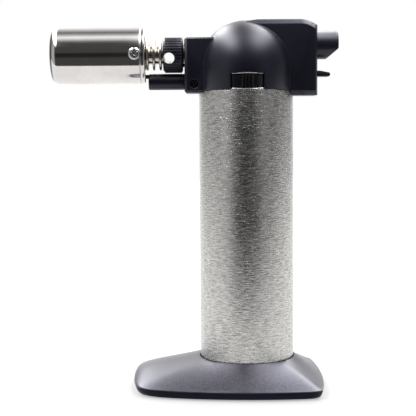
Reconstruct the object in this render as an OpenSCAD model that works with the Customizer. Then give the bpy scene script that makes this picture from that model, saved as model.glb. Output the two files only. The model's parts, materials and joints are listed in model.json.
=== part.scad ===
// Butane micro torch that stands in its own removable stand.
// Frame: origin on the surface under the tank axis, +Z up, burner towards -X, side window towards -Y.
// All lengths are millimetres.

/* [Tank] */
// Outer radius of the brushed sleeve
tank_r = 19; // [18.9:0.05:19.1]
// Wall of the brushed sleeve
sleeve_wall = 0.7; // [0.5:0.1:0.8]
// Height of the seam between the sleeve and the head
head_seam_z = 119.8; // [119.6:0.1:120]

/* [Stand] */
// Reach of the stand towards the burner
stand_front = 46.3; // [43.3:0.5:50.3]
// Reach of the stand towards the button
stand_rear = 30.6; // [29.6:0.5:34.6]
// Reach of the stand to each side
stand_side = 32.2; // [30:0.1:36]
// Top of the lower plate
plate_h = 3.2; // [3:0.1:3.2]
// Height of the upper shell above the plate
shell_h = 8.6; // [8:0.1:9]
// Gap between the tank and the socket of the stand
socket_gap = 0.3; // [0.2:0.05:0.5]

/* [Head] */
// Height of the flat top of the rear block
head_top_z = 147.9; // [147.7:0.1:148.5]
// Centre height of the dome
dome_z = 129; // [128.8:0.1:129]
// Half width of the front block
front_half_w = 8.35; // [8.3:0.05:8.6]
// Half width of the rear block
rear_half_w = 8.2; // [8.2:0.05:8.4]
// Face of the front block
front_x = -24.7; // [-24.8:0.05:-24.6]
// Face of the rear block
rear_x = 28.3; // [28.2:0.05:28.4]
// Wall of the head shells
head_wall = 1.8; // [1.6:0.1:1.8]

/* [Burner] */
// Height of the burner axis
burner_z = 134.3; // [134.2:0.05:134.4]
// Outer radius of the burner barrel
barrel_r = 11.5; // [11.4:0.05:11.5]
// Front edge of the burner barrel
barrel_x = -78.1; // [-84:0.1:-76]
// Number of ribs on the air collar
collar_ribs = 36; // [24:1:44]
// Radius of the cross hole that lets air in
air_hole_r = 2.2; // [1.5:0.1:2.25]
// Tilt of the cross hole out of level, in degrees
air_hole_tilt = 7; // [0:1:10]

/* [Controls] */
// Height of the button axis
button_z = 138; // [138:0.1:138.2]
// Radius of the button
button_r = 5.7; // [5.5:0.05:5.75]
// Outer end of the button
button_x = 37; // [36:0.1:38]
// Width of the side window
window_w = 12.9; // [12:0.1:13]

/* [Hidden] */
$fn = 96;
eps = 0.01;

// Stand: each side of the outline is an arc, given by its centre, its radius and the way it faces
socket_r = tank_r + socket_gap;
side_bow = 150;
front_bow = 150;
rear_bow = 200;
side_peak_x = 4;
stand_sides = [
    [[side_peak_x, side_bow - stand_side], side_bow],
    [[side_peak_x, stand_side - side_bow], side_bow],
    [[front_bow - stand_front, 0], front_bow],
    [[stand_rear - rear_bow, 0], rear_bow]
];
shell_rim_r = socket_r + 0.5;
outline_step = 4.5;
shell_rings = 8;
shell_hollow = 2.4;
hollow_inset = 8.6;
socket_wall = 2.2;
boss_r = 2.6;
boss_hole_r = 1.15;
plate_bottom = 0.4;
pad_h = 0.8;
pad_inset = 5;
access_r = 14;
pad_hole_r = 16;
stand_screw_spots = [[-34.5, -15.5], [-34.5, 15.5], [20.5, -22], [20.5, 22]];

// Tank and its valves
tank_floor = 8;
tank_top = 109;
neck_top = 113.9;
cap_floor = 6;
cap_rim = plate_h;
sleeve_z = 4.2;
body_r = tank_r - sleeve_wall - 0.1;
stem_r = 1.3;
stem_guide_r = 1.36;
refill_mouth = 4.6;
refill_socket_r = 2.15;
refill_guide_z = 7;
refill_chamber_z = 9;
valve_r = 4.2;
valve_top = 124.6;
chamber_z = 112;
hose_z = 118.7;
spigot_r = 1.3;
stem_head_z = 129.4;

// Head
dome_inner_r = tank_r - head_wall;
front_top_z = 140.9;
front_bottom_z = 118.9;
rear_bottom_z = 117.7;
rear_inner_half_w = 6.9;
lip_r = body_r;
lip_inner_r = 16.6;
lip_z = 112;
screw_r = 1.1;
screw_head_r = 1.55;
near_screw = [-20.9, 122.4];
far_screws = [[24.6, 120.6], [12, 144.35]];
near_recess = 1.4;
far_recess = 0.9;

// Window and flow ring
window_z0 = 120.4;
window_z1 = 125.8;
pocket_r = 18.2;
pocket_half_angle = 52;
band_half_angle = 36;

// Burner
neck_r = 4.9;
collar_x0 = -33.3;
collar_x1 = -25.4;
collar_r = 7.1;
air_hole_x = -30.9;
air_hole_drop = 0.8;
tube_r = 3.7;
flange_r = 5.6;
flange_x0 = -20;
flange_x1 = -16;
fin_r = 6.25;
fin_xs = [-39.6, -37.0, -34.4];
hub_x0 = -48;
hub_x1 = -42.2;
hub_x2 = -40.2;
conduit_z = 123.6;
conduit_r = 3.25;
spark_z = 125.7;
insulator_r = 0.85;
burner_screw_x = -44.3;

// Button, fork and lock lever
fork_slope = 0.2;
fork_half_w = 4.4;
piezo_half_w = 4;
piezo_half_h = 4.5;
lock_x = 23.5;
lock_z = 124.6;
lock_pin_r = 0.9;

// Routes of the soft lines inside the head, points along the middle of each
hose_route = [[-5.4, 0, 118.7], [-8, 0, 119.1], [-10.6, 0, 121.6], [-11.4, 0, 125.5], [-11.2, 0, 129.6],
              [-10.6, 0, 132.6], [-11.4, 0, 134.2], [-13, 0, 134.3]];
wire_route = [[-2, 0, 138], [-4.4, 0.4, 138], [-6.2, 3.2, 136.6], [-7.6, 5.8, 133], [-9, 6.6, 128.6],
              [-12.4, 5.4, 126], [-17, 2.2, 125.6], [-21, 0.3, 125.7], [-23.6, 0, 125.7]];
electrode_route = [[-23.8, 0, 125.7], [-40, 0, 125.7], [-58, 0, 125.7], [-61.6, 0, 125.7],
                   [-62.6, 0, 126.4], [-62.9, 0, 128], [-62.4, 0, 130]];

// ---------- shared helpers ----------

function total(v) = v * [for (x = v) 1];
function unit(v) = v / norm(v);

// Distance from the tank axis to one arc of the stand's outline, in the direction a
function to_arc(a, side) =
    let (along = [cos(a), sin(a)] * side[0])
    along + sqrt(along * along + side[1] * side[1] - side[0] * side[0]);

// The four sides blend into one rounded outline; a higher power gives a tighter corner
function outline_r(a) =
    let (p = 16 + 4 * cos(a))
    pow(total([for (side = stand_sides) pow(to_arc(a, side), -p)]), -1 / p);
function outline(inset) =
    [for (a = [0 : outline_step : 360 - outline_step]) (outline_r(a) - inset) * [cos(a), sin(a)]];

// s runs from the round rim at the socket (0) straight out to the full outline (1)
function level_r(a, s) = (1 - s) * shell_rim_r + s * outline_r(a);

// Height of the upper shell above the plate, as a share of its full height: straight down to
// the edge at the sides and the rear, and higher with a rounded end towards the burner
function front_share(a) = pow(max(0, -cos(a)), 12);
function shell_rise(a, s) = (1 - (1 - 0.42 * front_share(a)) * s) * sqrt(max(0, 1 - pow(s, 10)));

// Triangles that join n-sided rings in a row, with both ends closed
function ring_faces(rings, n) = concat(
    [for (k = [0 : rings - 2], i = [0 : n - 1]) [k * n + i, k * n + (i + 1) % n, (k + 1) * n + (i + 1) % n]],
    [for (k = [0 : rings - 2], i = [0 : n - 1]) [k * n + i, (k + 1) * n + (i + 1) % n, (k + 1) * n + i]],
    [[for (i = [n - 1 : -1 : 0]) i]],
    [[for (i = [0 : n - 1]) (rings - 1) * n + i]]);

// A closed solid under the upper shell's surface
module shell_loft() {
    angles = [for (a = [0 : outline_step : 360 - outline_step]) a];
    shares = [for (k = [0 : shell_rings]) 1 - pow(1 - k / shell_rings, 2)];
    polyhedron(
        points = [for (s = shares, a = angles) let (r = level_r(a, s))
            [r * cos(a), r * sin(a), plate_h + shell_h * shell_rise(a, s)]],
        faces = ring_faces(shell_rings + 1, len(angles)));
}

// The lower plate tapers towards its underside: each level is [z, inset]
module plate_loft(levels) {
    points = [for (level = levels, p = outline(level[1])) [p[0], p[1], level[0]]];
    polyhedron(points = points, faces = ring_faces(len(levels), len(outline(0))));
}

// A smooth curve through the points of a route (Catmull-Rom), steps points to a span
function route_point(p, i) = p[min(max(i, 0), len(p) - 1)];
function curve_at(p, i, t) =
    let (a = route_point(p, i - 1), b = route_point(p, i), c = route_point(p, i + 1), d = route_point(p, i + 2))
    0.5 * (2 * b + (c - a) * t + (2 * a - 5 * b + 4 * c - d) * t * t + (3 * b - a - 3 * c + d) * t * t * t);
function smooth_route(p, steps) = concat(
    [for (i = [0 : len(p) - 2], k = [0 : steps - 1]) curve_at(p, i, k / steps)],
    [p[len(p) - 1]]);

// A round line of radius r along the points of a path; side is never parallel to the path
module swept(path, r, side, sides = 8) {
    last = len(path) - 1;
    points = [for (i = [0 : last])
        let (along = unit(path[min(i + 1, last)] - path[max(i - 1, 0)]),
             across = unit(cross(along, side)),
             up = cross(across, along))
        for (k = [0 : sides - 1]) path[i] + r * (cos(k * 360 / sides) * across + sin(k * 360 / sides) * up)];
    polyhedron(points = points, faces = ring_faces(last + 1, sides));
}

// A compression spring round the Z axis
module spring(r, wire, turns, z0, z1) {
    steps = 10;
    count = turns * steps;
    path = [for (i = [0 : count])
        [r * cos(i * 360 / steps), r * sin(i * 360 / steps), z0 + wire + (z1 - z0 - 2 * wire) * i / count]];
    swept(path, wire, [0, 0, 1], 6);
}

// Quarter-round corner points for a turned or extruded outline
function arc(cx, cy, r, from, to, steps = 5) =
    [for (i = [0 : steps]) let (a = from + (to - from) * i / steps) [cx + r * cos(a), cy + r * sin(a)]];

// A turned part on the Z axis, from [radius, z] points
module turned(points) {
    rotate_extrude() polygon(points);
}

// A turned part on a line along X at height z, from [radius, x] points
module turned_x(points, z) {
    translate([0, 0, z]) rotate([0, 90, 0]) rotate_extrude() polygon(points);
}

// A cylinder along X from x0 to x1 at height z
module rod_x(r, x0, x1, z, y = 0) {
    translate([x0, y, z]) rotate([0, 90, 0]) cylinder(r = r, h = x1 - x0);
}

// A cylinder along Y from y0 to y1 at the place [x, z]
module rod_y(r, y0, y1, at) {
    translate([at[0], y0, at[1]]) rotate([-90, 0, 0]) cylinder(r = r, h = y1 - y0);
}

// A block between two corners
module block(low, high) {
    translate(low) cube(high - low);
}

// An outline in X and Z, extruded along Y from -half_w to half_w
module plate_xz(points, half_w) {
    translate([0, half_w, 0]) rotate([90, 0, 0]) linear_extrude(2 * half_w) polygon(points);
}

// A cross-recess screw that points along -Z, with the underside of its head at z = 0
module screw(head_r, head_h, shank_r, shank_l) {
    difference() {
        union() {
            turned([[0, 0], [head_r, 0], [head_r, head_h * 0.45], [head_r * 0.86, head_h * 0.8],
                    [head_r * 0.6, head_h], [0, head_h]]);
            translate([0, 0, -shank_l]) cylinder(r = shank_r, h = shank_l + eps);
        }
        for (turn = [45, 135])
            rotate([0, 0, turn]) block([-head_r * 0.62, -head_r * 0.14, head_h * 0.4],
                                       [head_r * 0.62, head_r * 0.14, head_h + 1]);
    }
}

// ---------- stand ----------

module base_shell() {
    color([0.43, 0.44, 0.48]) difference() {
        shell_loft();
        difference() {
            translate([0, 0, plate_h - 1]) linear_extrude(1 + shell_hollow) polygon(outline(hollow_inset));
            cylinder(r = socket_r + socket_wall, h = 30);
            for (spot = stand_screw_spots)
                translate([spot[0], spot[1], 0]) cylinder(r = boss_r, h = 30);
        }
        cylinder(r = socket_r, h = 30);
        for (spot = stand_screw_spots)
            translate([spot[0], spot[1], 0]) cylinder(r = boss_hole_r, h = plate_h + shell_hollow - 0.1);
    }
}

module base_plate() {
    color([0.05, 0.05, 0.07]) difference() {
        plate_loft([[plate_h, 0.15], [plate_h - 1.2, 0.3], [plate_bottom + 0.5, 0.75], [plate_bottom, 1.3]]);
        translate([0, 0, -1]) cylinder(r = access_r, h = 10);
        translate([0, 0, -1]) linear_extrude(1 + pad_h) polygon(outline(pad_inset - 0.1));
        for (spot = stand_screw_spots)
            translate([spot[0], spot[1], 0]) {
                cylinder(r = 2.4, h = 2.2);
                cylinder(r = 1.3, h = 10);
            }
    }
}

module base_pad() {
    color([0.1, 0.1, 0.1]) difference() {
        linear_extrude(pad_h) polygon(outline(pad_inset));
        translate([0, 0, -1]) cylinder(r = pad_hole_r, h = 10);
    }
}

module base_screws() {
    color("silver")
        for (spot = stand_screw_spots)
            translate([spot[0], spot[1], 2.2]) rotate([180, 0, 0]) screw(2.1, 1.2, 1.1, 3);
}

// ---------- tank ----------

module tank_sleeve() {
    color([0.72, 0.71, 0.69]) difference() {
        translate([0, 0, sleeve_z]) cylinder(r = tank_r, h = head_seam_z - sleeve_z - 0.2);
        cylinder(r = tank_r - sleeve_wall, h = 200);
    }
}

module fuel_tank() {
    color([0.85, 0.85, 0.82])
        turned([[3.55, tank_floor], [body_r, tank_floor], [body_r, tank_top], [7.5, tank_top],
                [7.5, neck_top], [4.05, neck_top], [4.05, tank_top - 2.5], [body_r - 1.8, tank_top - 2.5],
                [body_r - 1.8, tank_floor + 2], [6.5, tank_floor + 2], [6.5, 15.5], [3.55, 15.5]]);
}

module tank_bottom_cap() {
    color([0.08, 0.08, 0.09])
        turned([[3.55, cap_floor], [3.55, tank_floor], [body_r, tank_floor], [body_r, sleeve_z],
                [tank_r, sleeve_z], [tank_r, cap_rim], [11.5, cap_rim], [11.5, cap_floor]]);
}

module dip_tube() {
    color("ivory") difference() {
        translate([0, 0, 18]) cylinder(r = 1.5, h = 88);
        translate([0, 0, 10]) cylinder(r = 0.9, h = 100);
    }
}

module refill_valve_body() {
    color("goldenrod") difference() {
        union() {
            translate([0, 0, refill_mouth]) cylinder(r = 5.5, h = cap_floor - refill_mouth);
            translate([0, 0, cap_floor]) cylinder(r = 3.5, h = 16 - cap_floor);
        }
        translate([0, 0, refill_mouth - 1]) cylinder(r = refill_socket_r, h = refill_guide_z - refill_mouth + 1);
        cylinder(r = stem_guide_r, h = 12);
        translate([0, 0, refill_chamber_z]) cylinder(r = 2.5, h = 15 - refill_chamber_z);
        cylinder(r = 0.8, h = 20);
    }
}

module refill_valve_stem() {
    color("white")
        turned([[0, refill_guide_z + 0.1], [stem_r, refill_guide_z + 0.1], [stem_r, 9.7], [2.2, 9.7],
                [2.2, 10.7], [1, 10.7], [1, 12], [0, 12]]);
}

module refill_seal() {
    color([0.1, 0.1, 0.1]) difference() {
        translate([0, 0, refill_chamber_z]) cylinder(r = 2.4, h = 0.6);
        cylinder(r = stem_guide_r, h = 20);
    }
}

module refill_spring() {
    color("silver") spring(1.75, 0.25, 5, 10.75, 15);
}

module outlet_valve_body() {
    color("goldenrod") difference() {
        union() {
            translate([0, 0, 102]) cylinder(r = 4, h = neck_top - 102);
            translate([0, 0, neck_top]) cylinder(r = 6.3, h = 117 - neck_top, $fn = 6);
            translate([0, 0, 117 - eps]) cylinder(r = valve_r, h = valve_top - 117 + eps);
            rod_x(spigot_r, -5.4, -3.6, hose_z);
        }
        translate([0, 0, chamber_z]) cylinder(r = 2.6, h = 122 - chamber_z);
        translate([0, 0, 121]) cylinder(r = stem_guide_r, h = 10);
        translate([0, 0, 101]) cylinder(r = 1.55, h = 5);
        translate([0, 0, 105]) cylinder(r = 0.7, h = 8);
        rod_x(0.6, -6, -2, hose_z);
    }
}

module valve_stem() {
    color("gold")
        turned([[0, chamber_z + 1.1], [2.3, chamber_z + 1.1], [2.3, chamber_z + 2.6], [stem_r, chamber_z + 2.6],
                [stem_r, stem_head_z], [3.2, stem_head_z], [3.2, stem_head_z + 1.6], [0, stem_head_z + 1.6]]);
}

module valve_seal() {
    color([0.1, 0.1, 0.1]) difference() {
        translate([0, 0, chamber_z]) cylinder(r = 2.3, h = 1);
        cylinder(r = 0.8, h = 200);
    }
}

module valve_spring() {
    color("silver") spring(1.95, 0.25, 6, chamber_z + 2.65, 122);
}

module flow_ring() {
    band_r0 = pocket_r - 1.2;
    band_r1 = pocket_r - 0.2;
    color([0.04, 0.04, 0.05]) {
        difference() {
            union() {
                translate([0, 0, 120.8]) cylinder(r = 6.4, h = 3.6);
                block([-2.2, -band_r0 - 0.3, 121], [2.2, -5, 124.2]);
            }
            cylinder(r = valve_r + 0.05, h = 200);
        }
        difference() {
            rotate([0, 0, 270 - band_half_angle]) translate([0, 0, 120.1])
                rotate_extrude(angle = 2 * band_half_angle) translate([band_r0, 0]) square([1, 6]);
            translate([0, 0, 100]) cylinder(r = band_r0, h = 50);
        }
        for (i = [-1.5 : 1 : 1.5])
            rotate([0, 0, i * 3.7]) block([-0.28, -18.85, 120.8], [0.28, -band_r1 + 0.3, 125.4]);
    }
}

module gas_hose() {
    color([0.85, 0.82, 0.7]) swept(smooth_route(hose_route, 4), spigot_r, [0, 1, 0], 10);
}

// ---------- burner ----------

module gas_jet() {
    color("goldenrod")
        turned_x([[0.3, -26.5], [1, -26.5], [2.2, -23.6], [2.95, -23], [2.95, -14.2], [spigot_r, -14.2],
                  [spigot_r, -13], [0.7, -13], [0.7, -25.5], [0.3, -25.5]], burner_z);
}

// The cross hole that the tube and the collar share
module air_hole() {
    translate([air_hole_x, 0, burner_z - air_hole_drop]) rotate([air_hole_tilt, 0, 0])
        translate([0, -15, 0]) rotate([-90, 0, 0]) cylinder(r = air_hole_r, h = 30);
}

module mixing_tube() {
    color([0.78, 0.75, 0.71]) difference() {
        union() {
            turned_x([[0, -56], [tube_r, -56], [tube_r, -33.4], [neck_r, -33.4], [neck_r, flange_x0],
                      [flange_r, flange_x0], [flange_r, flange_x1], [0, flange_x1]], burner_z);
            for (x = fin_xs)
                turned_x([[tube_r - 0.4, x - 0.55], [fin_r - 0.35, x - 0.5], [fin_r - 0.08, x - 0.32],
                          [fin_r, x], [fin_r - 0.08, x + 0.32], [fin_r - 0.35, x + 0.5],
                          [tube_r - 0.4, x + 0.55]], burner_z);
        }
        rod_x(2.4, -57, -25, burner_z);
        rod_x(3, -26, -15, burner_z);
        air_hole();
    }
}

module air_collar() {
    pitch = 360 / collar_ribs;
    root_r = collar_r - 0.42;
    teeth = [for (i = [0 : collar_ribs - 1], k = [[-0.36, root_r], [-0.2, collar_r], [0.2, collar_r], [0.36, root_r]])
        k[1] * [cos((i + k[0]) * pitch), sin((i + k[0]) * pitch)]];
    color([0.05, 0.05, 0.07]) difference() {
        union() {
            translate([collar_x0 + 0.7, 0, burner_z]) rotate([0, 90, 0])
                linear_extrude(collar_x1 - collar_x0 - 1.1) polygon(teeth);
            turned_x([[0, collar_x0], [root_r - 0.35, collar_x0], [root_r + 0.1, collar_x0 + 0.7],
                      [root_r + 0.1, collar_x1 - 0.4], [root_r - 0.2, collar_x1], [0, collar_x1]], burner_z);
        }
        rod_x(neck_r + 0.05, collar_x0 - 1, collar_x1 + 1, burner_z);
        air_hole();
    }
}

module burner_barrel() {
    rim = 2.6;
    color([0.75, 0.75, 0.77]) difference() {
        turned_x(concat(
            arc(barrel_r - rim, barrel_x + rim, rim, 270, 360),
            [[barrel_r, hub_x1], [barrel_r - 0.9, hub_x1], [barrel_r - 0.9, barrel_x + 6.6],
             [barrel_r - rim, barrel_x + 6.1]]), burner_z);
        rod_y(1.4, -15, -8, [burner_screw_x, burner_z]);
    }
}

module burner_hub() {
    flange = 0.8;
    color([0.7, 0.7, 0.72]) difference() {
        turned_x(concat(
            [[tube_r + 0.05, hub_x0], [barrel_r - 1, hub_x0], [barrel_r - 1, hub_x1], [barrel_r - 0.1, hub_x1]],
            arc(barrel_r - 0.1 - flange, hub_x2 - flange, flange, 0, 90),
            [[tube_r + 0.05, hub_x2]]), burner_z);
        rod_x(insulator_r + 0.05, hub_x0 - 1, hub_x2 + 1, spark_z);
        rod_y(1.25, -15, -5.4, [burner_screw_x, burner_z]);
    }
}

module burner_screw() {
    color("silver") translate([burner_screw_x, -barrel_r, burner_z]) rotate([90, 0, 0]) screw(2.45, 1.4, 1.2, 5.6);
}

module flame_holder() {
    holes = 8;
    color("goldenrod") difference() {
        turned_x([[0, -60], [6.8, -60], [6.8, -55.2], [tube_r + 0.02, -55.2], [tube_r + 0.02, -56.4],
                  [5.9, -56.4], [5.9, -58.4], [0, -58.4]], burner_z);
        rod_x(0.8, -61, -58, burner_z);
        for (i = [0 : holes - 1])
            rod_x(0.8, -61, -58, burner_z + 3.8 * sin(i * 360 / holes), 3.8 * cos(i * 360 / holes));
    }
}

// ---------- ignition ----------

module electrode() {
    color("silver") swept(smooth_route(electrode_route, 3), 0.42, [0, 1, 0]);
}

module electrode_insulator() {
    color([0.06, 0.06, 0.06]) difference() {
        rod_x(insulator_r, -52, -23.8, spark_z);
        rod_x(0.47, -53, -23, spark_z);
    }
}

module ignition_conduit() {
    color([0.05, 0.05, 0.07]) difference() {
        turned_x([[0, -39.3], [conduit_r - 0.35, -39.3], [conduit_r, -38.95], [conduit_r, -22.9], [0, -22.9]],
                 conduit_z);
        rod_x(insulator_r + 0.05, -40, -22, spark_z);
    }
}

module ignition_wire() {
    color("darkred") swept(smooth_route(wire_route, 3), 0.55, [1, 0, 0.3]);
}

module piezo_body() {
    color([0.15, 0.3, 0.6]) difference() {
        block([-2, -piezo_half_w, button_z - piezo_half_h], [17, piezo_half_w, button_z + piezo_half_h]);
        block([6, -piezo_half_w + 0.9, button_z - piezo_half_h + 1],
              [18, piezo_half_w - 0.9, button_z + piezo_half_h - 1]);
    }
}

module piezo_plunger() {
    color("white")
        block([12, -piezo_half_w + 1, button_z - piezo_half_h + 1.1],
              [27.9, piezo_half_w - 1, button_z + piezo_half_h - 1.1]);
}

module piezo_spring() {
    color("silver") translate([0, 0, button_z]) rotate([0, 90, 0]) spring(2.3, 0.3, 5, 6, 12);
}

module ignition_button() {
    edge = 0.8;
    color([0.05, 0.05, 0.07]) difference() {
        turned_x(concat(
            [[0, 24.3], [6.6, 24.3], [6.6, 25.5], [button_r, 25.5]],
            arc(button_r - edge, button_x - edge, edge, 0, 90),
            [[0, button_x]]), button_z);
        translate([32.2, -10, button_z - button_r]) rotate([0, -40.4, 0]) block([-5, 0, -20], [20, 20, 0]);
        block([24, -3.1, button_z - 3.5], [28, 3.1, button_z + 3.5]);
    }
}

// The fork rides with the button; its sloped tines lift the head of the valve stem
module push_fork() {
    tine_x = 8;
    tip_x = -4;
    touch_x = 3.2;
    top_at_touch = stem_head_z - 0.1;
    color([0.85, 0.3, 0.1]) {
        for (side = [-1, 1])
            translate([0, side * (fork_half_w + 1.65) / 2, 0])
                plate_xz([[tip_x, 127.3], [tine_x + 1, 127.3], [tine_x + 1, 130.2],
                          [tine_x, top_at_touch + fork_slope * (tine_x - touch_x)],
                          [tip_x, top_at_touch + fork_slope * (tip_x - touch_x)]],
                         (fork_half_w - 1.65) / 2);
        block([tine_x, -fork_half_w, 128.4], [21.8, fork_half_w, 130.2]);
        block([21.8 - eps, -fork_half_w, 127.2], [24.3, fork_half_w, 133]);
    }
}

module lock_lever() {
    half_w = 3.5;
    color([0.05, 0.05, 0.07]) difference() {
        union() {
            rod_y(1.9, -half_w, half_w, [lock_x, lock_z]);
            plate_xz([[24.2, 123.5], [25.8, 125.3], [33.3, 125.3], [33.7, 125.7], [33.8, 126.3], [33.4, 126.9],
                      [29.6, 127.6], [26.5, 127.6], [23.6, 126.3]], half_w);
            plate_xz([[19.5, 124.6], [22.6, 123.3], [23.4, 125.9], [20.5, 126.9], [19.5, 126.9]], half_w);
        }
        rod_y(lock_pin_r + 0.05, -10, 10, [lock_x, lock_z]);
    }
}

module lock_pin() {
    color("silver") rod_y(lock_pin_r, -6.2, 6.2, [lock_x, lock_z]);
}

// ---------- head ----------

// Chamfered block: the full outline in the middle, a smaller one at full width
module chamfered_block(full, small, half_w, chamfer) {
    hull() {
        plate_xz(full, half_w - chamfer);
        plate_xz(small, half_w);
    }
}

module front_block() {
    edge = 0.8;
    full = concat(
        arc(front_x + 1, front_bottom_z + 1, 1, 270, 180),
        arc(front_x + 1.2, front_top_z - 1.2, 1.2, 180, 90),
        [[0, front_top_z], [0, front_bottom_z]]);
    small = [[front_x + edge, front_bottom_z + 1], [front_x + edge, front_top_z - 0.5],
             [0, front_top_z - 0.5], [0, front_bottom_z + 1]];
    chamfered_block(full, small, front_half_w, edge);
}

// The top of the rear block rises out of the dome, runs level and rolls down to the rear face
module rear_block() {
    level_x = 4.5;
    rise = 0.6;
    roll_x = 21.5;
    roll_r = 10.8;
    chamfer = 1.9;
    edge = 0.8;
    full = concat(
        [[0, rear_bottom_z], [rear_x, rear_bottom_z], [rear_x, head_top_z - 2.4]],
        arc(roll_x, head_top_z - roll_r, roll_r, asin((roll_r - 2.4) / roll_r), 90, 8),
        [[level_x, head_top_z], [0, head_top_z - rise]]);
    small = concat(
        [[0, rear_bottom_z + 1.8], [rear_x - edge, rear_bottom_z + 1.8], [rear_x - edge, head_top_z - 2.4 - chamfer]],
        arc(roll_x, head_top_z - roll_r, roll_r - chamfer, asin((roll_r - 2.4) / roll_r), 90, 8),
        [[level_x, head_top_z - chamfer], [0, head_top_z - rise - chamfer]]);
    chamfered_block(full, small, rear_half_w, chamfer);
}

module head_outer() {
    difference() {
        union() {
            translate([0, 0, dome_z]) sphere(r = tank_r);
            translate([0, 0, head_seam_z]) cylinder(r = tank_r, h = dome_z - head_seam_z);
            front_block();
            rear_block();
        }
        translate([0, 0, 90]) cylinder(r = tank_r + 0.15, h = head_seam_z - 90);
    }
}

module head_hollow() {
    translate([0, 0, dome_z]) sphere(r = dome_inner_r);
    translate([0, 0, 100]) cylinder(r = dome_inner_r, h = dome_z - 100);
    block([front_x + head_wall, -front_half_w + head_wall, front_bottom_z + head_wall],
          [0, front_half_w - head_wall, front_top_z - head_wall]);
    block([0, -rear_inner_half_w, rear_bottom_z + head_wall],
          [rear_x - 2, rear_inner_half_w, head_top_z - head_wall]);
}

// Walls and bosses inside the head, for both halves
module head_ribs() {
    side = front_half_w - 0.6;
    block([front_x + 1, -side, 127.6], [flange_x0 - 0.05, side, front_top_z - 1]);
    block([flange_x1 + 0.1, -side, 127.6], [-14, side, front_top_z - 1]);
    for (s = [-1, 1]) {
        block([-4, s > 0 ? 1.2 : -18, 134], [-2, s > 0 ? 18 : -1.2, 141.5]);
        for (x = [3, 12])
            block([x, s > 0 ? piezo_half_w : -18, 134], [x + 1.6, s > 0 ? 18 : -piezo_half_w, 141.5]);
        rod_y(2.1, s > 0 ? 3.9 : -7.5, s > 0 ? 7.5 : -3.9, [lock_x, lock_z]);
    }
    rod_y(1.9, -8, 8, near_screw);
    rod_y(1.9, -8, 8, far_screws[0]);
    rod_y(1.8, -8, 8, far_screws[1]);
}

// Everything that is cut through both halves
module head_cuts() {
    rod_x(neck_r + 0.05, front_x - 1, flange_x0, burner_z);
    rod_x(flange_r + 0.05, flange_x0 - 0.05, flange_x1 + 0.1, burner_z);
    rod_x(3.2, -17, -13, burner_z);
    rod_x(conduit_r + 0.05, front_x - 1, front_x + head_wall + 0.1, conduit_z);
    rod_x(button_r + 0.25, rear_x - 2.2, rear_x + 1, button_z);
    block([rear_x - 2.2, -3.9, 123.3], [rear_x + 1, 3.9, 128.5]);
    rod_y(lock_pin_r + 0.03, -6.3, 6.3, [lock_x, lock_z]);
}

// Screw hole: s is the side where the head sits
module screw_hole(at, s, floor_y) {
    rod_y(screw_head_r + 0.15, s > 0 ? floor_y : -12, s > 0 ? 12 : -floor_y, at);
    rod_y(screw_r + 0.15, s > 0 ? 0 : -12, s > 0 ? 12 : 0, at);
    rod_y(screw_r + 0.02, s > 0 ? -5.2 : -1, s > 0 ? 1 : 5.2, at);
}

module head_half(s) {
    intersection() {
        difference() {
            union() {
                difference() {
                    head_outer();
                    head_hollow();
                }
                intersection() {
                    head_ribs();
                    head_outer();
                }
                difference() {
                    translate([0, 0, lip_z]) cylinder(r = lip_r, h = head_seam_z + 1 - lip_z);
                    translate([0, 0, lip_z - 1]) cylinder(r = lip_inner_r, h = 12);
                }
            }
            head_cuts();
            screw_hole(near_screw, -1, front_half_w - near_recess);
            for (at = far_screws) screw_hole(at, 1, rear_half_w - far_recess);
        }
        block([-60, s > 0 ? 0 : -60, 90], [60, s > 0 ? 60 : 0, 160]);
    }
}

// The side window flares outwards, and the flow ring's band runs in a pocket behind it
module head_shell_near() {
    window = [[-16, window_z0], [-18.3, window_z0], [-19.6, window_z0 - 0.75],
              [-19.6, window_z1 + 0.75], [-18.3, window_z1], [-16, window_z1]];
    color([0.07, 0.07, 0.09]) difference() {
        head_half(-1);
        translate([-window_w / 2, 0, 0]) rotate([90, 0, 90]) linear_extrude(window_w) polygon(window);
        rotate([0, 0, 270 - pocket_half_angle]) translate([0, 0, 119.9])
            rotate_extrude(angle = 2 * pocket_half_angle) translate([15, 0]) square([pocket_r - 15, 6.4]);
    }
}

module head_shell_far() {
    color([0.07, 0.07, 0.09]) head_half(1);
}

module head_screws() {
    color([0.1, 0.1, 0.1]) {
        translate([near_screw[0], -front_half_w + near_recess, near_screw[1]]) rotate([90, 0, 0])
            screw(screw_head_r, 0.9, screw_r, 11.5);
        for (at = far_screws)
            translate([at[0], rear_half_w - far_recess, at[1]]) rotate([-90, 0, 0])
                screw(screw_head_r, 0.9, screw_r, 11.5);
    }
}

base_shell();
base_plate();
base_pad();
base_screws();
tank_sleeve();
fuel_tank();
tank_bottom_cap();
dip_tube();
refill_valve_body();
refill_valve_stem();
refill_seal();
refill_spring();
outlet_valve_body();
valve_stem();
valve_seal();
valve_spring();
flow_ring();
gas_hose();
gas_jet();
mixing_tube();
air_collar();
burner_barrel();
burner_hub();
burner_screw();
flame_holder();
electrode();
electrode_insulator();
ignition_conduit();
ignition_wire();
piezo_body();
piezo_plunger();
piezo_spring();
ignition_button();
push_fork();
lock_lever();
lock_pin();
head_shell_near();
head_shell_far();
head_screws();
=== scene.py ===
import json
import math

import bmesh
import bpy
from mathutils import Matrix, Vector


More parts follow.
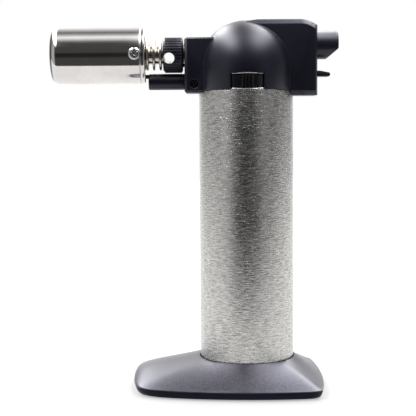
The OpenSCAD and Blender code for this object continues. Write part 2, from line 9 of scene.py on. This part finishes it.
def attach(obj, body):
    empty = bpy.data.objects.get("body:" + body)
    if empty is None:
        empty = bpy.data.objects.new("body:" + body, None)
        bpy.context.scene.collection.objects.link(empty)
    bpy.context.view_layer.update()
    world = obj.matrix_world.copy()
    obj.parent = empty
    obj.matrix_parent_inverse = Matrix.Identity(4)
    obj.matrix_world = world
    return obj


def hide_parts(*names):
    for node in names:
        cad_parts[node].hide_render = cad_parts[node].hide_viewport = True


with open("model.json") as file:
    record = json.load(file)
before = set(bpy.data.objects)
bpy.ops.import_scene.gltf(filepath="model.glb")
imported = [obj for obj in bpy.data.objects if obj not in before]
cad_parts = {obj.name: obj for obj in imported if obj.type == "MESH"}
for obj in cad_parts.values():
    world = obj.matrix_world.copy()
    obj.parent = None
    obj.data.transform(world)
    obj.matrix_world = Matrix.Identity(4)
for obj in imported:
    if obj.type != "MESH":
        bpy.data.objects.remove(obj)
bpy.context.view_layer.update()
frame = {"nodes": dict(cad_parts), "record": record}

# Lengths below are in millimetres
MM = 0.001
TANK_R = 19.0
TANK_INNER_R = 18.3
TANK_Z = (4.2, 119.6)

# Burner, which lies along X
BURNER_Z = 134.3
BARREL_END = -78.1
BARREL_R = 11.5
BARREL_INNER_R = 10.6
MOUTH_R = 8.9
FRONT_TURN = (3.4, 2.6)  # how far the barrel's front rounding reaches along and across
HUB_FACE = -42.2  # where the barrel ends against its hub
# the chrome barrel's front rim is painted dark: a painted dark reflection
RIM_END = -77.2  # the barrel's front, up to here, is darker
RIM_INNER_R = 9.0

# Window in the near half of the head
WINDOW_Z = (120.4, 125.8)
WINDOW_HALF_W = 6.6
LIP_Y = (-19.1, -18.0)
LIP_H = 0.7
LIP_UNDERCUT = 0.12


# ---------- materials ----------

class Shader:
    """One procedural material: a few nodes around a Principled BSDF, in millimetres."""

    def __init__(self, name):
        self.material = bpy.data.materials.new(name)
        self.material.use_nodes = True
        self.tree = self.material.node_tree
        self.tree.nodes.clear()
        self.output = self.tree.nodes.new("ShaderNodeOutputMaterial")
        self.bsdf = self.tree.nodes.new("ShaderNodeBsdfPrincipled")
        self.link(self.bsdf.outputs[0], self.output.inputs[0])
        coords = self.tree.nodes.new("ShaderNodeTexCoord")
        self.object_mm = self.vector_math("MULTIPLY", coords.outputs["Object"], (1 / MM,) * 3)
        self.normal = None

    def link(self, a, b):
        self.tree.links.new(a, b)

    def feed(self, socket, value):
        if isinstance(value, bpy.types.NodeSocket):
            self.link(value, socket)
        else:
            socket.default_value = value

    def math(self, operation, a, b=0.0):
        n = self.tree.nodes.new("ShaderNodeMath")
        n.operation = operation
        self.feed(n.inputs[0], a)
        self.feed(n.inputs[1], b)
        return n.outputs[0]

    def vector_math(self, operation, a, b=(0.0, 0.0, 0.0)):
        n = self.tree.nodes.new("ShaderNodeVectorMath")
        n.operation = operation
        self.feed(n.inputs[0], a)
        self.feed(n.inputs[1], b)
        return n.outputs[0]

    def xyz(self, vector):
        n = self.tree.nodes.new("ShaderNodeSeparateXYZ")
        self.link(vector, n.inputs[0])
        return n.outputs

    def combine(self, x, y, z):
        n = self.tree.nodes.new("ShaderNodeCombineXYZ")
        for socket, value in zip(n.inputs, (x, y, z)):
            self.feed(socket, value)
        return n.outputs[0]

    def noise(self, vector, scale, detail=3.0, roughness=0.55, distortion=0.0):
        n = self.tree.nodes.new("ShaderNodeTexNoise")
        self.link(vector, n.inputs["Vector"])
        n.inputs["Scale"].default_value = scale
        n.inputs["Detail"].default_value = detail
        n.inputs["Roughness"].default_value = roughness
        n.inputs["Distortion"].default_value = distortion
        return n.outputs[0]

    def cells(self, vector, scale):
        n = self.tree.nodes.new("ShaderNodeTexVoronoi")
        self.link(vector, n.inputs["Vector"])
        n.inputs["Scale"].default_value = scale
        return self.xyz(n.outputs["Color"])[0]

    def spread(self, value, low, high, to_low, to_high):
        n = self.tree.nodes.new("ShaderNodeMapRange")
        self.link(value, n.inputs[0])
        for i, v in enumerate((low, high, to_low, to_high)):
            self.feed(n.inputs[i + 1], v)
        return n.outputs[0]

    def blend(self, factor, a, b):
        n = self.tree.nodes.new("ShaderNodeMix")
        n.data_type = "RGBA"
        self.feed(n.inputs[0], factor)
        self.feed(n.inputs[6], (*a, 1.0) if isinstance(a, tuple) else a)
        self.feed(n.inputs[7], (*b, 1.0) if isinstance(b, tuple) else b)
        return n.outputs[2]

    def bump(self, height, strength, distance_mm):
        n = self.tree.nodes.new("ShaderNodeBump")
        n.inputs["Strength"].default_value = strength
        n.inputs["Distance"].default_value = distance_mm * MM
        self.link(height, n.inputs["Height"])
        if self.normal is not None:
            self.link(self.normal, n.inputs["Normal"])
        self.normal = n.outputs[0]
        self.link(self.normal, self.bsdf.inputs["Normal"])

    def set(self, **values):
        for name, value in values.items():
            socket = self.bsdf.inputs[name.replace("_", " ")]
            if isinstance(value, tuple):
                value = (*value, 1.0)
            self.feed(socket, value)


def moulded(name, dark, light, rough, grain=2.6, bump=0.12, metallic=0.0, coat=0.0,
            specular=0.5, tint=(1.0, 1.0, 1.0)):
    """Moulded plastic or rubber: fine grain, slight mottle and slightly uneven gloss."""
    s = Shader(name)
    fine = s.noise(s.object_mm, grain, 4.0)
    broad = s.noise(s.object_mm, 0.16, 3.0)
    s.set(Base_Color=s.blend(s.spread(broad, 0.3, 0.7, 0.0, 1.0), dark, light),
          Roughness=s.spread(fine, 0.25, 0.75, rough * 0.88, rough * 1.12),
          Metallic=metallic, Coat_Weight=coat, Coat_Roughness=0.1,
          Specular_IOR_Level=specular, Specular_Tint=tint)
    s.bump(fine, bump, 0.04)
    return s.material


def flake_paint(name, dark, light, rough):
    """Satin metallic paint: small flakes that sparkle in a darker body."""
    s = Shader(name)
    flakes = s.cells(s.object_mm, 3.2)
    fine = s.noise(s.object_mm, 6.0, 2.0)
    broad = s.noise(s.object_mm, 0.14, 3.0)
    body = s.math("ADD", s.math("MULTIPLY", flakes, 0.75), s.math("MULTIPLY", broad, 0.25))
    s.set(Base_Color=s.blend(body, dark, light),
          Roughness=s.spread(flakes, 0.0, 1.0, rough * 0.82, rough * 1.18),
          Metallic=0.85)
    s.bump(s.math("ADD", flakes, fine), 0.12, 0.03)
    return s.material


def turned_metal(name, dark, light, rough, axis, line=3.0, bump=0.06):
    """Machined or plated metal with fine turning lines round an axis."""
    s = Shader(name)
    stretch = {"X": (line, 0.15, 0.15), "Y": (0.15, line, 0.15), "Z": (0.15, 0.15, line)}[axis]
    lines = s.noise(s.vector_math("MULTIPLY", s.object_mm, stretch), 1.0, 4.0, 0.6)
    smear = s.noise(s.object_mm, 0.1, 4.0, 0.6)
    s.set(Base_Color=s.blend(s.spread(smear, 0.3, 0.7, 0.0, 1.0), dark, light),
          Roughness=s.spread(s.math("MULTIPLY", lines, smear), 0.1, 0.4,
                             rough * 0.7, rough * 1.3),
          Metallic=1.0)
    s.bump(lines, bump, 0.01)
    return s.material


def brushed_sleeve(name):
    """Stainless sleeve brushed round the tube: short crinkled horizontal strokes that sparkle."""
    s = Shader(name)
    x, y, z = s.xyz(s.object_mm)
    round_mm = s.math("MULTIPLY", s.math("ARCTAN2", x, s.math("MULTIPLY", y, -1.0)), TANK_R)
    wrapped = s.combine(round_mm, z, 0.0)
    stroke = s.noise(s.vector_math("MULTIPLY", wrapped, (0.36, 2.3, 1.0)), 1.0, 3.0, 0.55, 0.6)
    fine = s.noise(s.vector_math("MULTIPLY", wrapped, (1.4, 9.0, 1.0)), 1.0, 3.0, 0.6)
    broad = s.noise(s.vector_math("MULTIPLY", wrapped, (0.05, 0.08, 1.0)), 1.0, 2.0)
    mixed = s.math("ADD", s.math("MULTIPLY", stroke, 0.7), s.math("MULTIPLY", fine, 0.3))
    s.set(Base_Color=s.blend(s.spread(mixed, 0.36, 0.64, 0.0, 1.0),
                             (0.34, 0.33, 0.315), (0.84, 0.83, 0.81)),
          Roughness=s.spread(s.math("ADD", stroke, s.math("MULTIPLY", broad, 0.4)),
                             0.4, 1.0, 0.16, 0.34),
          Metallic=1.0, Anisotropic=0.5)
    s.bump(mixed, 0.85, 0.18)
    return s.material


MATERIALS = {
    "stand_shell": flake_paint("stand_shell", (0.036, 0.036, 0.047), (0.078, 0.077, 0.094), 0.34),
    "stand_plate": moulded(
        "stand_plate", (0.0022, 0.0023, 0.009), (0.0036, 0.0037, 0.013), 0.4, bump=0.02,
                           specular=0.12),
    "pad_rubber": moulded("pad_rubber", (0.02, 0.02, 0.02), (0.035, 0.035, 0.035), 0.8, bump=0.4),
    "brushed_tank": brushed_sleeve("brushed_tank"),
    "tank_plastic": moulded("tank_plastic", (0.62, 0.6, 0.52), (0.72, 0.7, 0.62), 0.4),
    "black_plastic": moulded(
        "black_plastic", (0.0038, 0.0040, 0.0100), (0.0050, 0.0052, 0.0120), 0.36, grain=7.0,
                             bump=0.10, tint=(0.88, 0.87, 1.0)),
    # painted highlight: light grey metal stands in for the shine on the black shell's window lips
    "lip_painted_highlight": moulded(
        "lip_painted_highlight", (0.45, 0.45, 0.47), (0.55, 0.55, 0.57), 0.25, bump=0.02, metallic=0.8),
    "gloss_black": moulded(
        "gloss_black", (0.004, 0.004, 0.006), (0.006, 0.006, 0.009), 0.2, bump=0.03, coat=0.2),
    "valve_brass": turned_metal("valve_brass", (0.55, 0.36, 0.12), (0.74, 0.52, 0.22), 0.24, "Z"),
    "jet_brass": turned_metal("jet_brass", (0.55, 0.36, 0.12), (0.74, 0.52, 0.22), 0.24, "X"),
    "white_plastic": moulded("white_plastic", (0.74, 0.74, 0.7), (0.82, 0.82, 0.79), 0.42),
    "seal_rubber": moulded(
        "seal_rubber", (0.012, 0.012, 0.012), (0.022, 0.022, 0.022), 0.65, bump=0.3),
    "spring_steel": turned_metal("spring_steel", (0.4, 0.4, 0.4), (0.62, 0.62, 0.62), 0.26, "Z"),
    "hose_rubber": moulded("hose_rubber", (0.55, 0.5, 0.36), (0.68, 0.64, 0.5), 0.5),
    "neck_nickel": turned_metal(
        "neck_nickel", (0.42, 0.385, 0.34), (0.62, 0.58, 0.53), 0.2, "X", line=5.0),
    "barrel_chrome": turned_metal(
        "barrel_chrome", (0.66, 0.635, 0.62), (0.74, 0.715, 0.70), 0.075, "X", bump=0.02),
    # painted shade: dark metal on the chrome barrel's front rim stands in for a dark reflection
    # there
    "barrel_rim_painted_dark": turned_metal(
        "barrel_rim_painted_dark", (0.13, 0.125, 0.12), (0.2, 0.19, 0.185), 0.16, "X", bump=0.02),
    "screw_steel": turned_metal("screw_steel", (0.42, 0.42, 0.43), (0.66, 0.66, 0.67), 0.2, "Y"),
    "black_screw": turned_metal(
        "black_screw", (0.02, 0.02, 0.022), (0.05, 0.05, 0.052), 0.3, "Y"),
    "ceramic_black": moulded("ceramic_black", (0.012, 0.012, 0.016), (0.022, 0.022, 0.028), 0.3),
    "wire_red": moulded("wire_red", (0.2, 0.008, 0.008), (0.32, 0.02, 0.015), 0.4),
    "piezo_blue": moulded("piezo_blue", (0.03, 0.08, 0.24), (0.05, 0.12, 0.32), 0.4),
    "fork_orange": moulded("fork_orange", (0.5, 0.11, 0.015), (0.64, 0.17, 0.03), 0.42),
}

# CAD node: its finish
FINISH = {
    "base_shell": "stand_shell", "base_plate": "stand_plate", "base_pad": "pad_rubber",
    "base_screws": "screw_steel", "tank_sleeve": "brushed_tank", "fuel_tank": "tank_plastic",
    "tank_bottom_cap": "black_plastic", "dip_tube": "white_plastic",
    "refill_valve_body": "valve_brass", "refill_valve_stem": "white_plastic",
    "refill_seal": "seal_rubber", "refill_spring": "spring_steel",
    "outlet_valve_body": "valve_brass", "valve_stem": "valve_brass", "valve_seal": "seal_rubber",
    "valve_spring": "spring_steel", "flow_ring": "gloss_black", "gas_hose": "hose_rubber",
    "gas_jet": "jet_brass", "mixing_tube": "neck_nickel", "air_collar": "black_plastic",
    "burner_barrel": "barrel_chrome", "burner_hub": "barrel_chrome",
    "burner_screw": "screw_steel", "flame_holder": "jet_brass", "electrode": "spring_steel",
    "electrode_insulator": "ceramic_black", "ignition_conduit": "black_plastic",
    "ignition_wire": "wire_red", "piezo_body": "piezo_blue", "piezo_plunger": "white_plastic",
    "piezo_spring": "spring_steel", "ignition_button": "black_plastic",
    "push_fork": "fork_orange", "lock_lever": "black_plastic", "lock_pin": "screw_steel",
    "head_shell_near": "black_plastic", "head_shell_far": "black_plastic",
    "head_screws": "black_screw",
}
BODY_OF = {n: b for b, names in frame["record"]["behaviour"]["bodies"].items() for n in names}


# ---------- mesh helpers ----------

def dress(obj, finish):
    """The object's materials replaced by its finish. The jet's brass has its lines along another
    axis.
    """
    obj.data.materials.clear()
    obj.data.materials.append(MATERIALS[finish])


def shade(obj, angle=32):
    for p in obj.data.polygons:
        p.use_smooth = True
    obj.data.set_sharp_from_angle(angle=math.radians(angle))


def add_piece(name, points, faces, node, angle=32):
    """A new piece in place of a CAD node, on that node's body. Points are in millimetres."""
    mesh = bpy.data.meshes.new(name)
    mesh.from_pydata([Vector(p) * MM for p in points], [], faces)
    mesh.validate()
    bm = bmesh.new()
    bm.from_mesh(mesh)
    bmesh.ops.remove_doubles(bm, verts=bm.verts, dist=1e-7)
    bmesh.ops.recalc_face_normals(bm, faces=bm.faces)
    bm.to_mesh(mesh)
    bm.free()
    obj = bpy.data.objects.new(name, mesh)
    bpy.context.scene.collection.objects.link(obj)
    shade(obj, angle)
    dress(obj, FINISH[node])
    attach(obj, BODY_OF[node])
    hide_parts(node)
    return obj


def loop_faces(rings, count):
    """Quads between rings of equal count, the last ring joined to the first."""
    faces = []
    for k in range(rings):
        a, b = k * count, (k + 1) % rings * count
        for i in range(count):
            j = (i + 1) % count
            faces.append((a + i, a + j, b + j, b + i))
    return faces


def rounded(profile, segments):
    """Profile corners (u, v, radius) rounded into arcs; the profile is a closed loop."""
    out = []
    n = len(profile)
    for i, corner in enumerate(profile):
        p = Vector(corner[:2])
        radius = corner[2] if len(corner) > 2 else 0.0
        if radius <= 0:
            out.append(tuple(p))
            continue
        a = Vector(profile[i - 1][:2]) - p
        b = Vector(profile[(i + 1) % n][:2]) - p
        angle = a.angle(b)
        if math.pi - angle < 0.02:
            out.append(tuple(p))
            continue
        cut = min(radius / math.tan(angle / 2), a.length * 0.49, b.length * 0.49)
        r = cut * math.tan(angle / 2)
        centre = p + (a.normalized() + b.normalized()).normalized() * (r / math.sin(angle / 2))
        start, end = p + a.normalized() * cut - centre, p + b.normalized() * cut - centre
        sweep = start.angle_signed(end)
        for k in range(segments + 1):
            t = -sweep * k / segments
            c, s = math.cos(t), math.sin(t)
            out.append((centre.x + start.x * c - start.y * s, centre.y + start.x * s + start.y * c))
    return out


def second_finish(obj, finish, where):
    """Give the faces whose centre, in millimetres, passes a test their own finish."""
    obj.data.materials.append(MATERIALS[finish])
    for p in obj.data.polygons:
        if where(p.center / MM):
            p.material_index = 1


def lathe(name, profile, node, axis="X", centre=(0.0, 0.0, BURNER_Z), sides=192, angle=32,
          segments=5):
    """A closed profile [(along, radius, corner)] turned round an axis."""
    ring = rounded(profile, segments)
    points = []
    for along, r in ring:
        for i in range(sides):
            t = 2 * math.pi * i / sides
            if axis == "X":
                points.append((along, centre[1] + r * math.cos(t), centre[2] + r * math.sin(t)))
            else:
                points.append((centre[0] + r * math.cos(t), centre[1] + r * math.sin(t), along))
    return add_piece(name, points, loop_faces(len(ring), sides), node, angle)


# Degrees: faces meeting under the first are merged, edges over the second are rounded
FLAT_ANGLE = 0.4
SHARP_ANGLE = 28


def refined(name, node, bevel, smooth_angle=40):
    """The CAD node's own shape with its flats merged and its sharp edges rounded."""
    bm = bmesh.new()
    bm.from_mesh(frame["nodes"][node].data)
    bmesh.ops.remove_doubles(bm, verts=bm.verts, dist=2e-6)
    bmesh.ops.dissolve_degenerate(bm, edges=bm.edges, dist=2e-6)
    if bevel:
        bmesh.ops.dissolve_limit(bm, angle_limit=math.radians(FLAT_ANGLE), verts=bm.verts,
                                 edges=bm.edges, delimit={"SHARP"})
        sharp = [e for e in bm.edges if len(e.link_faces) == 2
                 and e.calc_face_angle(0.0) > math.radians(SHARP_ANGLE)]
        bmesh.ops.bevel(bm, geom=sharp, offset=bevel * MM, offset_type="OFFSET", segments=2,
                        profile=0.5, affect="EDGES", clamp_overlap=False, miter_outer="ARC")
    mesh = bpy.data.meshes.new(name)
    bm.to_mesh(mesh)
    bm.free()
    obj = bpy.data.objects.new(name, mesh)
    bpy.context.scene.collection.objects.link(obj)
    shade(obj, smooth_angle)
    dress(obj, FINISH[node])
    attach(obj, BODY_OF[node])
    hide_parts(node)
    return obj


# ---------- pieces ----------

for node_name, obj in frame["nodes"].items():
    dress(obj, FINISH[node_name])

# The stand's outline: four arcs, given by centre and radius, that blend at the corners
STAND_SIDES = [((4, 117.8), 150), ((4, -117.8), 150), ((103.7, 0), 150), ((-169.4, 0), 200)]
SOCKET_R = 19.3
RIM_R = 19.8
PLATE_TOP = 3.2
SHELL_TOP = 11.8


def stand_radius(angle, share):
    """How far the stand reaches at an angle, from the socket's rim (0) to the outline (1)."""
    power = 20 + 6 * math.cos(angle)
    total = 0.0
    for (cx, cy), radius in STAND_SIDES:
        along = math.cos(angle) * cx + math.sin(angle) * cy
        total += (along + math.sqrt(along ** 2 + radius ** 2 - cx ** 2 - cy ** 2)) ** -power
    return (1 - share) * RIM_R + share * total ** (-1 / power)


def stand_rise(angle, share):
    """Height of the shell's surface above its lower edge, as a share of its full height."""
    burner_end = max(0.0, -math.cos(angle)) ** 12
    return (1 - (1 - 0.42 * burner_end) * share) * math.sqrt(max(0.0, 1 - share ** 10))


def stand_shell():
    count, levels, lip = 360, 44, 0.4
    rings = []
    for r, z in ((SOCKET_R, PLATE_TOP), (SOCKET_R, SHELL_TOP - 0.45),
                 (SOCKET_R + 0.08, SHELL_TOP - 0.12), (SOCKET_R + 0.25, SHELL_TOP)):
        rings.append([(r, z)] * count)
    angles = [2 * math.pi * i / count for i in range(count)]
    for k in range(levels + 1):
        share = 1 - (1 - k / levels) ** 1.6
        top = PLATE_TOP + lip
        rings.append([(stand_radius(a, share), top + (SHELL_TOP - top) * stand_rise(a, share))
                      for a in angles])
    edge = [stand_radius(a, 1) for a in angles]
    for inset, z in ((0.0, PLATE_TOP + lip * 0.5), (0.05, PLATE_TOP + 0.06), (0.2, PLATE_TOP)):
        rings.append([(r - inset, z) for r in edge])
    points = [(r * math.cos(a), r * math.sin(a), z)
              for ring in rings for a, (r, z) in zip(angles, ring)]
    faces = loop_faces(len(rings), count)
    return add_piece("stand_shell", points, faces, "base_shell", angle=24)


stand_shell()
refined("stand_plate", "base_plate", bevel=0)
refined("stand_pad", "base_pad", bevel=0)
refined("stand_screws", "base_screws", bevel=0.08)

# Tank
lathe("tank_sleeve_skin", [
    (TANK_Z[0], TANK_INNER_R, 0.1), (TANK_Z[0], TANK_R, 0.25),
    (TANK_Z[1], TANK_R, 0.05), (TANK_Z[1], TANK_INNER_R, 0.1)],
      "tank_sleeve", axis="Z", centre=(0, 0, 0))
refined("tank_bottom", "tank_bottom_cap", bevel=0.15)
refined("refill_valve", "refill_valve_body", bevel=0.1)

# Burner, each profile as (x, radius, corner radius)
quarter = [math.radians(7.5 * k) for k in range(13)]
barrel = lathe("burner_barrel_skin",
               [(BARREL_END + FRONT_TURN[0] * (1 - math.cos(t)),
                 MOUTH_R + FRONT_TURN[1] * math.sin(t)) for t in quarter]
               + [(HUB_FACE, BARREL_R, 0.3), (HUB_FACE, BARREL_INNER_R, 0.1),
                  (-71.5, BARREL_INNER_R, 0.2), (-72.0, MOUTH_R, 0.2)],
               "burner_barrel", segments=6)
# the front rim gets the dark finish: a painted dark reflection on the chrome
second_finish(barrel, "barrel_rim_painted_dark", lambda at: at.x < RIM_END
              and math.hypot(at.y, at.z - BURNER_Z) > RIM_INNER_R)
lathe("burner_hub_skin", [
    (-48.0, 3.75, 0.1), (-48.0, 10.5, 0.3), (HUB_FACE, 10.5, 0.05), (-42.15, 11.4, 0.25),
    (-40.2, 11.4, 0.8), (-40.2, 3.75, 0.1)], "burner_hub", segments=8)
refined("mixing_tube_fins", "mixing_tube", bevel=0.06, smooth_angle=50)
refined("air_collar_knurl", "air_collar", bevel=0.07)
refined("burner_screw_head", "burner_screw", bevel=0.1)
refined("flame_cup", "flame_holder", bevel=0.1)
refined("conduit", "ignition_conduit", bevel=0.1)

# Controls
refined("button", "ignition_button", bevel=0.18)
refined("lever", "lock_lever", bevel=0.15)
refined("flow_slider", "flow_ring", bevel=0.07)

# Head
def on_window_lip(at):
    """The flared lips above and below the window, painted light grey: a painted highlight on the
    black shell.
    """
    off = max(WINDOW_Z[0] - at.z, at.z - WINDOW_Z[1])
    beside = abs(at.x) < WINDOW_HALF_W and LIP_Y[0] < at.y < LIP_Y[1]
    return beside and -LIP_UNDERCUT < off < LIP_H


near = refined("head_near", "head_shell_near", bevel=0.22)
# the window lips get a light grey finish: a painted highlight line on the black shell
second_finish(near, "lip_painted_highlight", on_window_lip)
refined("head_far", "head_shell_far", bevel=0.22)
refined("head_screw_heads", "head_screws", bevel=0.07)


# ---------- studio ----------

# Each: degrees from overhead (left is negative), half width in degrees, level
SOFT_BOXES = ((-31, 18, 14.0), (25, 25, 9.5))
# Light level by degrees above the front horizon
FRONT_LEVELS = [
    (-180, 0.9), (-70, 0.5), (-45, 0.063), (-15, 0.063), (-11, 0.05), (-6, 0.02), (5, 0.022),
    (10, 0.065), (46, 0.075), (55, 0.2), (65, 0.75), (75, 1.25), (88, 0.55), (101, 0.2),
    (116, 0.6), (137, 1.2)]
# Light level by degrees to the right of the front
BESIDE_LEVELS = [
    (-180, 0.8), (-125, 0.42), (-90, 0.3), (-62, 0.46), (-50, 0.6), (-38, 0.3), (-30, 0.05),
    (24, 0.05), (34, 0.34), (44, 0.36), (62, 0.16), (75, 0.15), (95, 0.26), (130, 0.42),
    (180, 0.8)]
# Metres; the front edge shows as a line in the chrome barrel
FLOOR_X = (-1.2, 1.2)
FLOOR_Y = (-0.143, 1.6)
# The camera that took the photo, as solved from it: lens in pixels, place, degrees
PHOTO_PX = 416
LENS_PX = 1050
SENSOR_MM = 36.0
CAMERA_AT = (-15.7, -428.0, 105.3)
CAMERA_DOWN = 4.41
CAMERA_ROLL = -0.39


def studio():
    world = bpy.data.worlds.new("studio")
    bpy.context.scene.world = world
    world.use_nodes = True
    tree = world.node_tree
    tree.nodes.clear()
    new = tree.nodes.new
    out = new("ShaderNodeOutputWorld")
    coords = new("ShaderNodeTexCoord")
    axes = new("ShaderNodeSeparateXYZ")
    tree.links.new(coords.outputs["Generated"], axes.inputs[0])

    def calc(operation, a, b=0.0):
        n = new("ShaderNodeMath")
        n.operation = operation
        for socket, value in zip(n.inputs, (a, b)):
            if isinstance(value, bpy.types.NodeSocket):
                tree.links.new(value, socket)
            else:
                socket.default_value = value
        return n.outputs[0]

    def ramp(value, stops):
        n = new("ShaderNodeValToRGB")
        tree.links.new(value, n.inputs[0])
        while len(n.color_ramp.elements) > 1:
            n.color_ramp.elements.remove(n.color_ramp.elements[0])
        n.color_ramp.elements[0].position = stops[0][0]
        n.color_ramp.elements[0].color = (stops[0][1],) * 3 + (1.0,)
        for position, level in stops[1:]:
            e = n.color_ramp.elements.new(position)
            e.color = (level,) * 3 + (1.0,)
        return n.outputs[0]

    # angle in the vertical plane that faces the torch: 0 is the front horizon, 90 straight up
    back_y = calc("MULTIPLY", axes.outputs[1], -1.0)

    def by_angle(up, stops):
        turn = calc("ADD", calc("DIVIDE", calc("ARCTAN2", up, back_y), 2 * math.pi), 0.5)
        return ramp(turn, [(0.5 + angle / 360, level) for angle, level in stops])

    front = by_angle(axes.outputs[2], FRONT_LEVELS)
    beside = by_angle(axes.outputs[0], BESIDE_LEVELS)
    side = ramp(calc("ABSOLUTE", axes.outputs[0]), [(0.0, 0.0), (0.40, 0.0), (0.62, 1.0)])

    def smooth(value, start, end):
        n = new("ShaderNodeMapRange")
        n.interpolation_type = "SMOOTHSTEP"
        tree.links.new(value, n.inputs[0])
        n.inputs[1].default_value = start
        n.inputs[2].default_value = end
        return n.outputs[0]

    # two long soft boxes overhead, left and right, that run from above the front to the back
    lean = calc("ARCTAN2", axes.outputs[0], axes.outputs[2])
    both = 0.0
    for middle, width, level in SOFT_BOXES:
        off_centre = calc("ABSOLUTE", calc("SUBTRACT", lean, math.radians(middle)))
        box = calc("MULTIPLY", smooth(off_centre, math.radians(width), 0.0), level)
        both = calc("ADD", box, both)
    ends = calc("MULTIPLY", smooth(axes.outputs[2], 0.3, 0.7), smooth(axes.outputs[1], -0.85, -0.2))
    strips = calc("MULTIPLY", both, ends)
    mixed = new("ShaderNodeMix")
    mixed.data_type = "RGBA"
    tree.links.new(side, mixed.inputs[0])
    tree.links.new(front, mixed.inputs[6])
    tree.links.new(beside, mixed.inputs[7])
    seen = new("ShaderNodeBackground")
    seen.inputs[0].default_value = (1.0, 1.0, 1.0, 1.0)
    lit = new("ShaderNodeBackground")
    total = new("ShaderNodeVectorMath")
    total.operation = "ADD"
    tree.links.new(mixed.outputs[2], total.inputs[0])
    tree.links.new(strips, total.inputs[1])
    tree.links.new(total.outputs[0], lit.inputs[0])
    lit.inputs[1].default_value = 1.0
    path = new("ShaderNodeLightPath")
    choose = new("ShaderNodeMixShader")
    tree.links.new(path.outputs["Is Camera Ray"], choose.inputs[0])
    tree.links.new(lit.outputs[0], choose.inputs[1])
    tree.links.new(seen.outputs[0], choose.inputs[2])
    tree.links.new(choose.outputs[0], out.inputs[0])

    mesh = bpy.data.meshes.new("studio_floor")
    (x0, x1), (y0, y1) = FLOOR_X, FLOOR_Y
    mesh.from_pydata([(x0, y0, 0), (x1, y0, 0), (x1, y1, 0), (x0, y1, 0)], [], [(0, 1, 2, 3)])
    floor = bpy.data.objects.new("studio_floor", mesh)
    bpy.context.scene.collection.objects.link(floor)
    s = Shader("studio_floor")
    s.set(Base_Color=s.blend(s.noise(s.object_mm, 0.01, 2.0), (0.16,) * 3, (0.18,) * 3),
          Roughness=0.7, Emission_Color=(1.0, 1.0, 1.0), Emission_Strength=0.44)
    floor.data.materials.append(s.material)


studio()
bpy.context.scene.view_settings.view_transform = "Standard"

camera = bpy.data.objects.new("camera", bpy.data.cameras.new("camera"))
bpy.context.scene.collection.objects.link(camera)
camera.data.sensor_width = SENSOR_MM
camera.data.lens = SENSOR_MM * LENS_PX / PHOTO_PX
camera.data.clip_start = 0.01
camera.data.clip_end = 20.0
camera.matrix_world = (
    Matrix.Translation(Vector(CAMERA_AT) * MM)
    @ Matrix.Rotation(math.radians(90 - CAMERA_DOWN), 4, "X")
    @ Matrix.Rotation(math.radians(CAMERA_ROLL), 4, "Z")
)
bpy.context.scene.camera = camera
